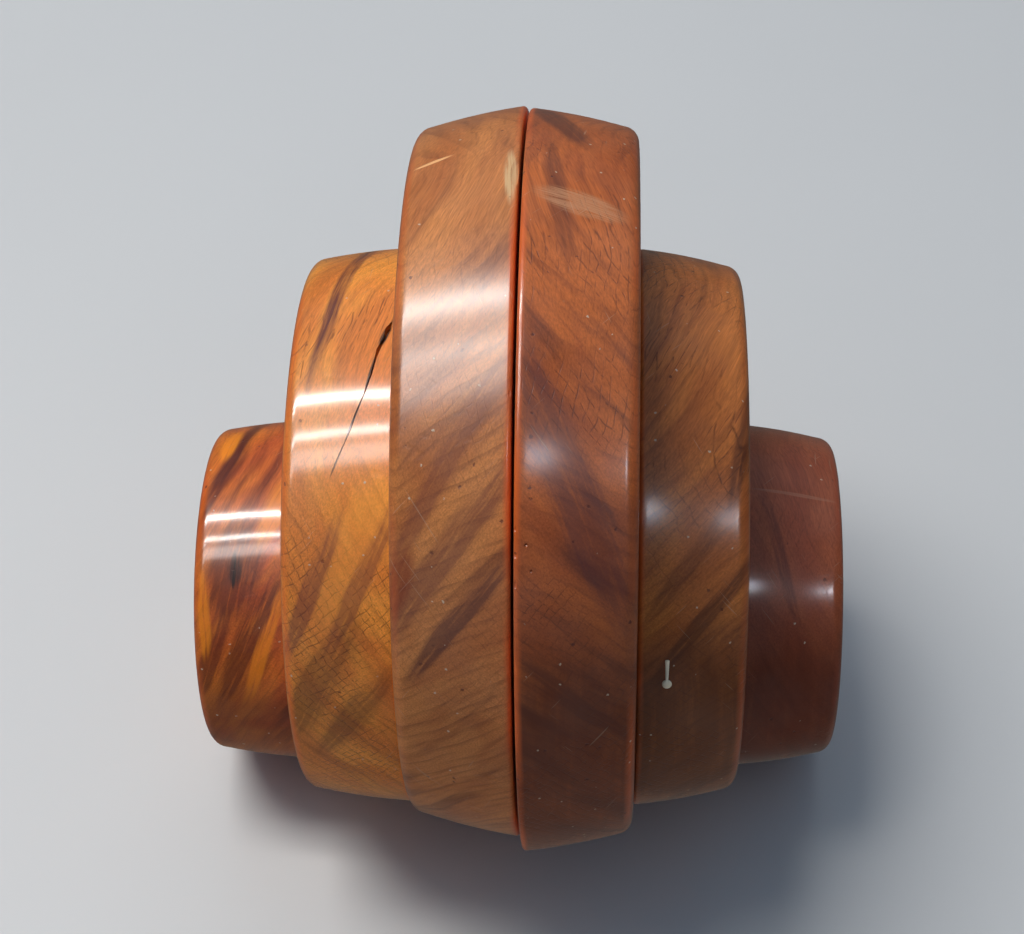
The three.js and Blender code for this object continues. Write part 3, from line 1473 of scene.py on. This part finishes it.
def left_medium() -> Ring:
    """The golden ring with purple streaks and a drying crack.

    Returns:
        The ring, ready to be built.
    """
    timber = Timber(
        "golden_wood",
        pale=srgb(248, 162, 66),
        body=srgb(222, 128, 54),
        dark=srgb(128, 66, 34),
        glow=srgb(232, 104, 30),
        fibre=(-1, -4.5, -0.2),
        pith=(-74, 0, -66),
        year=2.1,
        year_depth=0.3,
        band_depth=0.3,
        flame=0.85,
        check_depth=0.75,
        gloss_blur=0.14,
        seed=1.0,
    )
    plum = srgb(116, 58, 50)
    shade = srgb(96, 56, 34)
    # painted shade: near-black colour for the dark inside the crack
    crack_shade = srgb(30, 15, 10)
    stains_and_shade = [
        StainOrShade((8.6, -48), (17.4, 16), 3.6, srgb(96, 46, 42), 0.95, 0.6),
        StainOrShade((4.0, 34), (14.0, 66), 12.0, srgb(250, 166, 74), 0.4, 0.3, 1.6),
        StainOrShade((10.5, 40), (22.6, 74), 4.0, plum, 0.6, 0.8),
        StainOrShade((0.5, 38), (14.0, 70), 4.0, plum, 0.55, 0.8),
        # painted shade along the crack, from its wide upper end to its thin tail
        StainOrShade((2.8, 0.6), (4.9, 7.3), 1.5, crack_shade, 1.0, 0.9, 0.3, True),
        StainOrShade((4.9, 7.3), (7.1, 17.7), 0.75, crack_shade, 0.9, 0.6, 0.3, True),
        StainOrShade((7.1, 17.7), (10.4, 27.7), 0.55, crack_shade, 0.85, 0.6, 0.3, True),
        StainOrShade((10.4, 27.7), (13.0, 34.5), 0.45, crack_shade, 0.7, 0.6, 0.3, True),
        StainOrShade((8.0, 60), (22.5, 94), 8.0, shade, 0.5, 0.7),
        StainOrShade((1.0, 70), (17.0, 98), 6.0, shade, 0.5, 0.7),
    ]
    nicks = [Nick(22.1, 25.0, (0.8, 0.7, 0.6)), Nick(3.3, 2.6, (0.5, 0.9, 0.7), 0.2)]
    crack = Crack(
        (
            ((2.9, 0.6), 0.3),
            ((3.5, 2.2), 1.2),
            ((3.9, 4.6), 0.5),
            ((4.9, 7.3), 0.9),
            ((5.5, 10.5), 0.34),
            ((6.0, 13.4), 0.36),
            ((7.1, 17.7), 0.2),
            ((8.4, 21.4), 0.26),
            ((9.2, 24.6), 0.16),
            ((10.4, 27.7), 0.18),
            ((11.9, 31.3), 0.12),
            ((13.0, 34.5), 0.05),
        )
    )
    return Ring(RingForm("left_medium_ring", 55.4 * MM), timber, stains_and_shade, nicks, [crack])


def left_large() -> Ring:
    """The pinkish ring with slanting lines and a worn inner lip.

    Returns:
        The ring, ready to be built.
    """
    timber = Timber(
        "pink_brown_wood",
        pale=srgb(220, 142, 78),
        body=srgb(184, 108, 58),
        dark=srgb(104, 54, 36),
        glow=srgb(214, 92, 34),
        fibre=(-1, -2.9, -0.1),
        pith=(95, 0, -82),
        year=2.0,
        year_depth=0.4,
        band_depth=0.6,
        flame=0.7,
        check_depth=0.3,
        gloss_blur=0.23,
        seed=2.0,
    )
    plum = srgb(84, 42, 40)
    worn = srgb(214, 176, 128)
    stains_and_shade = [
        StainOrShade((-2.0, 54), (20.0, 77), 4.6, plum, 0.7, 0.8),
        StainOrShade((-2.0, 40), (24.0, 72), 6.5, srgb(116, 62, 48), 0.6, 0.8),
        StainOrShade((-2.0, 24), (24.0, 62), 5.0, srgb(122, 66, 50), 0.5, 0.8),
        StainOrShade((18.0, 55), (23.0, 68), 5.5, srgb(124, 44, 24), 0.75, 0.3),
        StainOrShade((1.9, -10), (1.2, 3), 2.6, worn, 0.9, 0.9, 0.5, True),
        StainOrShade((20.4, -10.2), (13.0, -12.1), 1.1, srgb(250, 186, 126), 1.0, 0.6, 0.3, True),
    ]
    nicks = [
        Nick(0.5, -3.8, (1.6, 6.2, 0.9), 0.35),
        Nick(0.1, 21.0, (0.5, 0.8, 0.5)),
        Nick(0.2, 33.5, (0.5, 1.1, 0.5)),
        Nick(0.0, 47.0, (0.6, 0.7, 0.5)),
        Nick(0.1, 79.0, (0.5, 0.9, 0.5)),
        Nick(20.9, 28.0, (0.5, 0.6, 0.3), 0.1),
    ]
    return Ring(RingForm("left_large_ring", 69.4 * MM), timber, stains_and_shade, nicks)


def right_large() -> Ring:
    """The red-brown ring, scuffed at the top.

    Returns:
        The ring, ready to be built.
    """
    timber = Timber(
        "red_brown_wood",
        pale=srgb(208, 112, 52),
        body=srgb(168, 84, 42),
        dark=srgb(84, 38, 30),
        glow=srgb(226, 100, 36),
        fibre=(1, -3.64, -0.1),
        pith=(-90, 0, -84),
        year=2.6,
        year_depth=0.35,
        band_depth=0.75,
        flame=0.7,
        check_depth=0.65,
        gloss_blur=0.2,
        seed=5.0,
    )
    plum = srgb(74, 38, 34)
    scuff = srgb(196, 138, 98)
    stains_and_shade = [
        StainOrShade((-1.0, 67), (22.0, 87), 4.0, plum, 0.6, 0.8),
        StainOrShade((-1.0, 83), (13.0, 95), 3.6, plum, 0.5, 0.8),
        StainOrShade((0.0, -36), (12.0, -14), 7.0, plum, 0.7, 0.4),
        StainOrShade((-2.0, 22), (21.0, 68), 11.0, srgb(92, 50, 48), 0.65, 0.5),
        StainOrShade((4.0, -16), (9.0, 14), 4.5, plum, 0.5, 0.5),
        # painted shade: broad darker band over the lower front, darker towards the bottom where
        # less light falls
        StainOrShade((11, 62), (11, 124), 46.0, srgb(104, 50, 30), 0.8, 0.2, 2.0),
        StainOrShade((2.5, -1.0), (19.0, 2.5), 6.5, scuff, 0.75, 1.3, 0.3, True),
    ]
    nicks = [
        Nick(0.1, 50.5, (0.5, 0.7, 0.6)),
        Nick(0.2, 54.0, (0.6, 0.8, 0.6)),
        Nick(0.2, 58.0, (0.5, 1.0, 0.6)),
        Nick(0.0, 12.0, (0.5, 0.8, 0.5)),
        Nick(2.2, 52.6, (0.4, 0.4, 0.35), 0.05),
        Nick(3.1, 56.2, (0.3, 0.4, 0.35), 0.05),
    ]
    return Ring(RingForm("right_large_ring", 71.0 * MM), timber, stains_and_shade, nicks)


def right_medium() -> Ring:
    """The olive-brown ring.

    Returns:
        The ring, ready to be built.
    """
    timber = Timber(
        "olive_brown_wood",
        pale=srgb(220, 132, 62),
        body=srgb(182, 102, 50),
        dark=srgb(88, 44, 26),
        glow=srgb(204, 90, 36),
        fibre=(-1, -2.6, -0.05),
        pith=(90, 0, -78),
        year=2.4,
        year_depth=0.35,
        band_depth=0.6,
        flame=0.7,
        check_depth=0.7,
        gloss_blur=0.2,
        seed=7.0,
    )
    plum = srgb(66, 34, 24)
    stains_and_shade = [
        StainOrShade((23.5, 45), (3.0, 73), 3.8, plum, 0.65, 0.8),
        StainOrShade((17.0, 37), (1.0, 61), 3.6, plum, 0.4, 0.8),
        StainOrShade((22.5, 8), (16.5, 40), 3.2, plum, 0.6, 0.8),
        # painted shade: broad darker band over the lower front, darker towards the bottom where
        # less light falls
        StainOrShade((11, 60), (11, 124), 46.0, srgb(100, 54, 30), 0.85, 0.2, 2.0),
    ]
    return Ring(RingForm("right_medium_ring", 54.2 * MM), timber, stains_and_shade)


def right_small() -> Ring:
    """The plain mahogany ring.

    Returns:
        The ring, ready to be built.
    """
    timber = Timber(
        "mahogany_wood",
        pale=srgb(182, 98, 60),
        body=srgb(154, 76, 48),
        dark=srgb(82, 36, 26),
        glow=srgb(190, 80, 46),
        fibre=(1, -4.4, 0),
        pith=(-80, 0, -40),
        year=2.8,
        year_depth=0.18,
        band_depth=0.4,
        flame=0.6,
        check_depth=0.25,
        seed=9.0,
    )
    stains_and_shade = [
        StainOrShade((3.5, 4), (12.5, 54), 3.2, srgb(80, 36, 30), 0.5, 0.8),
        # painted shade: broad darker band over the lower front, darker towards the bottom where
        # less light falls
        StainOrShade((11, 48), (11, 130), 46.0, srgb(96, 42, 26), 0.75, 0.2, 2.0),
        StainOrShade((2.4, 5.0), (20.5, 6.8), 1.0, srgb(172, 116, 90), 0.5, 0.6, 0.3, True),
    ]
    return Ring(RingForm("right_small_ring", 33.5 * MM), timber, stains_and_shade, seated=True)


# ---------------------------------------------------------------- studio


FLOOR_SIZE = 6.0
SKY_STRENGTH = 0.38
SKY: tuple[tuple[float, Colour], ...] = ((0.0, (0.26, 0.24, 0.22)), (0.85, (0.5, 0.7, 0.95)))
LAMP_AIM = Vector((0, 0, 0.07))  # halfway up the toy
WARM: Colour = (1, 0.98, 0.95)
COOL: Colour = (0.8, 0.88, 1.0)


@dataclass(frozen=True)
class View:
    """The camera, looking down along the front of the toy.

    Args:
        aim: The point looked at, in mm.
        distance: How far away it stands, in mm.
        down: Degrees that it looks down.
        turn: Degrees that it looks to the left of straight back.
        roll: Degrees that it leans over.
        lens: Focal length, in mm.
        sensor: Width of its sensor, in mm.
        nearest: Nearest distance that it sees, in metres.
    """

    aim: Triple = (-2.07, 12.21, 64.97)
    distance: float = 491.1
    down: float = 45.873
    turn: float = 3.388
    roll: float = -1.844
    lens: float = 81.35
    sensor: float = 36
    nearest: float = 0.01

    def build(self) -> Piece:
        """Adds the camera and makes it the scene's.

        Returns:
            The camera.
        """
        down, turn, roll = (math.radians(a) for a in (self.down, self.turn, self.roll))
        level = Vector((math.cos(turn), math.sin(turn), 0))
        ahead = Vector(
            (-math.sin(turn) * math.cos(down), math.cos(turn) * math.cos(down), -math.sin(down))
        )
        above = level.cross(ahead)
        right = math.cos(roll) * level + math.sin(roll) * above
        up = math.cos(roll) * above - math.sin(roll) * level
        camera = bpy.data.objects.new("camera", bpy.data.cameras.new("camera"))
        bpy.context.scene.collection.objects.link(camera)
        place = Matrix((right, up, -ahead)).transposed().to_4x4()
        place.translation = Vector(self.aim) * MM - ahead * self.distance * MM
        camera.matrix_world = place
        camera.data.lens = self.lens
        camera.data.sensor_width = self.sensor
        camera.data.clip_start = self.nearest
        bpy.context.scene.camera = camera
        return camera


@dataclass(frozen=True)
class Lamp:
    """One soft rectangular light.

    Args:
        name: Its name.
        place: Where it is, in metres.
        size: Its length along X and its width, in metres.
        power: Its strength, in watts.
        colour: Its colour.
        shines: Whether it shows in the lacquer.
        fills: Whether it lights the wood itself.
    """

    name: str
    place: Triple
    size: tuple[float, float]
    power: float
    colour: Colour = (1, 1, 1)
    shines: bool = True
    fills: bool = True

    def build(self) -> Piece:
        """Adds the light, facing the toy.

        Returns:
            The light.
        """
        data = bpy.data.lights.new(self.name, "AREA")
        data.shape = "RECTANGLE"
        data.size, data.size_y = self.size
        data.energy = self.power
        data.color = self.colour
        lamp = bpy.data.objects.new(self.name, data)
        bpy.context.scene.collection.objects.link(lamp)
        back = (Vector(self.place) - LAMP_AIM).normalized()
        side = Vector((0, 1, 0)).cross(back).normalized()
        turn = Matrix((side, back.cross(side), back)).transposed().to_4x4()
        turn.translation = Vector(self.place)
        lamp.matrix_world = turn
        lamp.visible_glossy = self.shines
        lamp.visible_diffuse = self.fills
        return lamp


def build_floor() -> Piece:
    """Adds the pale floor that the toy stands on.

    Returns:
        The floor.
    """
    clear_selection()
    bpy.ops.mesh.primitive_plane_add(size=FLOOR_SIZE, location=(0, 0, 0))
    floor = bpy.context.object
    floor.name = "floor"
    shader = Shader("pale_floor")
    cloud = shader.noise(shader.place(), 6, 3)
    colour = shader.mix(cloud, srgb(198, 198, 198), srgb(204, 204, 204))
    shader.link(colour, shader.surface.inputs["Base Color"])
    shader.surface.inputs["Roughness"].default_value = 0.6
    floor.data.materials.append(shader.material)
    floor.visible_glossy = False
    return floor


def build_studio() -> None:
    """Adds the floor, the surrounding light, the lamps and the camera."""
    build_floor()
    world = bpy.data.worlds.new("studio")
    world.use_nodes = True
    nodes, links = world.node_tree.nodes, world.node_tree.links
    sky = nodes["Background"]
    sky.inputs["Strength"].default_value = SKY_STRENGTH
    direction = nodes.new("ShaderNodeTexCoord")
    split = nodes.new("ShaderNodeSeparateXYZ")
    ramp = nodes.new("ShaderNodeValToRGB")
    for element, (height, colour) in zip(ramp.color_ramp.elements, SKY):
        element.position = height
        element.color = (*colour, 1)
    links.new(direction.outputs["Generated"], split.inputs[0])
    links.new(split.outputs["Z"], ramp.inputs["Fac"])
    links.new(ramp.outputs["Color"], sky.inputs["Color"])
    bpy.context.scene.world = world
    bpy.context.scene.view_settings.view_transform = "Standard"
    for lamp in (
        Lamp("near_tube", (-0.62, -0.12, 1.30), (1.0, 0.03), 14, WARM, fills=False),
        Lamp("far_tube", (-0.62, 0.24, 1.28), (1.0, 0.06), 26, WARM, fills=False),
        Lamp("wall_wash", (-0.62, -0.34, 1.28), (1.0, 0.18), 11, (1, 0.96, 0.92), fills=False),
        Lamp("window", (0.31, -0.74, 1.05), (0.07, 0.10), 1.6, COOL, fills=False),
        Lamp("side_window", (0.9, -0.80, 1.05), (0.10, 0.10), 3.2, COOL, fills=False),
        Lamp("key", (-0.5, 0.12, 1.35), (0.8, 0.4), 14, (1, 0.97, 0.92), shines=False),
        Lamp("overhead", (-0.1, 1.4, 1.5), (1.4, 0.8), 6, (0.95, 0.98, 1.0), shines=False),
    ):
        lamp.build()
    View().build()


def main() -> None:
    """Builds the toy and its studio, piece by piece."""
    logging.basicConfig(level=logging.INFO, format="%(name)s %(message)s")
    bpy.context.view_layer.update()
    build_studio()
    for make in (left_large, left_medium, left_small, right_large, right_medium, right_small):
        make().build()
    Spindle().build()
    for node in ("left_end_button", "right_end_button"):
        EndButton(node).build()
    PaintDrip(RingForm("right_medium_ring", 54.2 * MM)).build()
    clear_selection()


if __name__ == "__main__":
    main()
